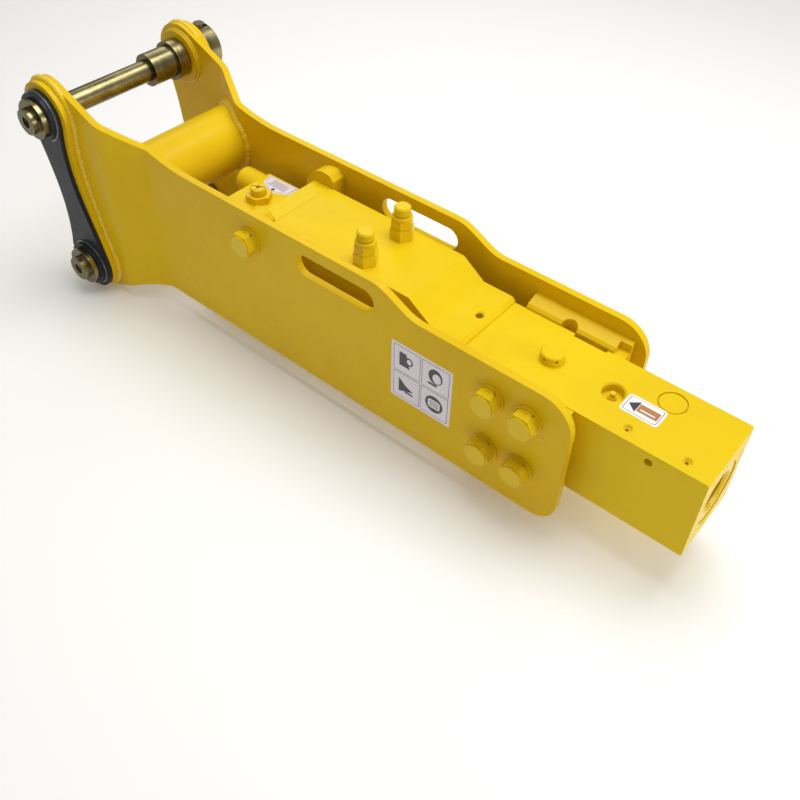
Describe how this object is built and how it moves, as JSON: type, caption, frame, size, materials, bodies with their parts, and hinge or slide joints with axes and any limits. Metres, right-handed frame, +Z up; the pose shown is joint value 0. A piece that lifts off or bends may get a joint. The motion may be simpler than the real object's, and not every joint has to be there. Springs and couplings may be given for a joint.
{
  "type": "hydraulic breaker hammer",
  "caption": "Side-plate hydraulic breaker for a backhoe: hammer body bolted between joggled plates, with linkage pins, spacer bushes, link plate and capped hose ports.",
  "frame": {"origin": "middle of the bounding box in plan, on the surface that the ears' lobes rest on", "axes": "+X along the hammer towards the tool end, +Y across to the side with the pin collars, +Z up through the open top where the ports are"},
  "size_m": [1.468, 0.464, 0.47],
  "materials": {
    "frame_paint": "glossy yellow enamel over welded plate",
    "body_paint": "glossy yellow enamel over machined steel",
    "fitting_paint": "glossy yellow enamel, thick with runs round the bolts and caps",
    "zinc_plate": "olive gold passivated zinc over turned steel",
    "bolt_steel": "satin passivated steel",
    "machined_steel": "fine turned steel with a film of oil",
    "bronze": "turned bronze",
    "seal_rubber": "matte black nitrile",
    "link_paint": "slate grey satin paint"
  },
  "bodies": {
    "hammer": {"side_plate_near": "frame_paint", "side_plate_far": "frame_paint", "doubler_near": "frame_paint", "doubler_far": "frame_paint", "ear_bosses": "frame_paint", "cross_tube": "frame_paint", "filler_bar_near": "frame_paint", "filler_bar_far": "frame_paint", "rear_lugs": "frame_paint", "front_head": "body_paint", "hammer_cylinder": "body_paint", "back_head": "body_paint", "front_plug": "body_paint", "port_adapters": "fitting_paint", "charge_valve_body": "fitting_paint", "front_bush": "fitting_paint", "grease_nipple": "fitting_paint", "bush_lock_pins": "fitting_paint", "stop_pin": "fitting_paint", "tie_rod_nuts": "fitting_paint", "front_side_bolts": "fitting_paint", "rear_side_bolts": "fitting_paint", "side_washers": "fitting_paint", "side_spring_washers": "fitting_paint", "tie_rods": "bolt_steel", "rear_bush": "machined_steel", "thrust_ring": "machined_steel", "valve_sleeve": "machined_steel", "valve_plug": "machined_steel", "seal_carrier": "bronze", "dust_seal": "seal_rubber", "rod_seals": "seal_rubber", "gas_seals": "seal_rubber", "joint_seal": "seal_rubber", "link_plate": "link_paint"},
    "piston": {"piston": "machined_steel"},
    "valve_spool": {"valve_spool": "machined_steel"},
    "tool_pin": {"tool_pin": "body_paint"},
    "upper_pin": {"upper_pin": "zinc_plate", "upper_collar": "zinc_plate", "upper_collar_bolt": "bolt_steel"},
    "lower_pin": {"lower_pin": "zinc_plate", "lower_collar": "zinc_plate", "lower_collar_bolt": "bolt_steel"},
    "upper_spacer": {"upper_spacer_bush": "zinc_plate"},
    "lower_spacer": {"lower_spacer_bush": "zinc_plate"},
    "upper_shims": {"upper_shims": "zinc_plate"},
    "lower_shims": {"lower_shims": "zinc_plate"},
    "near_port_plug": {"port_plug_near": "fitting_paint"},
    "far_port_plug": {"port_plug_far": "fitting_paint"},
    "near_port_nut": {"port_nut_near": "fitting_paint"},
    "far_port_nut": {"port_nut_far": "fitting_paint"},
    "charge_cap_seal": {"charge_cap_seal": "seal_rubber"},
    "charge_cap": {"charge_valve_cap": "fitting_paint"},
    "charge_poppet": {"charge_valve_poppet": "bolt_steel"}
  },
  "joints": [
    {"name": "piston_stroke", "type": "slide", "parent": "hammer", "child": "piston", "axis": [1, 0, 0], "range_m": [-0.085, 0.01]},
    {"name": "valve_spool_travel", "type": "slide", "parent": "hammer", "child": "valve_spool", "axis": [1, 0, 0], "range_m": [-0.014, 0]},
    {"name": "tool_pin_turn", "type": "hinge", "parent": "hammer", "child": "tool_pin", "pos_m": [0.613, 0.04, 0.193], "axis": [0, 0, 1], "continuous": true},
    {"name": "upper_pin_turn", "type": "hinge", "parent": "hammer", "child": "upper_pin", "pos_m": [-0.666, 0, 0.402], "axis": [0, 1, 0], "continuous": true},
    {"name": "lower_pin_turn", "type": "hinge", "parent": "hammer", "child": "lower_pin", "pos_m": [-0.626, 0, 0.068], "axis": [0, 1, 0], "continuous": true},
    {"name": "upper_spacer_slide", "type": "slide", "parent": "hammer", "child": "upper_spacer", "axis": [0, -1, 0], "range_m": [0, 0.205]},
    {"name": "lower_spacer_slide", "type": "slide", "parent": "hammer", "child": "lower_spacer", "axis": [0, -1, 0], "range_m": [0, 0.205]},
    {"name": "upper_shims_turn", "type": "hinge", "parent": "upper_spacer", "child": "upper_shims", "pos_m": [-0.666, 0.134, 0.402], "axis": [0, 1, 0], "continuous": true},
    {"name": "lower_shims_turn", "type": "hinge", "parent": "lower_spacer", "child": "lower_shims", "pos_m": [-0.626, 0.134, 0.068], "axis": [0, 1, 0], "continuous": true},
    {"name": "near_port_plug_lift", "type": "slide", "parent": "hammer", "child": "near_port_plug", "axis": [0, 0, 1], "range_m": [0, 0.012]},
    {"name": "near_port_nut_turn", "type": "hinge", "parent": "near_port_plug", "child": "near_port_nut", "pos_m": [0.045, -0.05, 0.36], "axis": [0, 0, 1], "range_deg": [0, 2161]},
    {"name": "far_port_plug_lift", "type": "slide", "parent": "hammer", "child": "far_port_plug", "axis": [0, 0, 1], "range_m": [0, 0.012]},
    {"name": "far_port_nut_turn", "type": "hinge", "parent": "far_port_plug", "child": "far_port_nut", "pos_m": [0.045, 0.05, 0.36], "axis": [0, 0, 1], "range_deg": [0, 2161]},
    {"name": "charge_cap_lift", "type": "slide", "parent": "hammer", "child": "charge_cap_seal", "axis": [0, 0, 1], "range_m": [0, 0.012]},
    {"name": "charge_cap_turn", "type": "hinge", "parent": "charge_cap_seal", "child": "charge_cap", "pos_m": [-0.279, 0, 0.31], "axis": [0, 0, 1], "range_deg": [0, 2881]},
    {"name": "charge_poppet_press", "type": "slide", "parent": "hammer", "child": "charge_poppet", "axis": [0, 0, -1], "range_m": [0, 0.003], "stiffness_N_per_m": 4000, "springref_m": -0.001}
  ],
  "couplings": [
    {"joint": "near_port_nut_turn", "follows": "near_port_plug_lift", "rad_per_m": 3141.6},
    {"joint": "far_port_nut_turn", "follows": "far_port_plug_lift", "rad_per_m": 3141.6},
    {"joint": "charge_cap_turn", "follows": "charge_cap_lift", "rad_per_m": 4188.8}
  ]
}
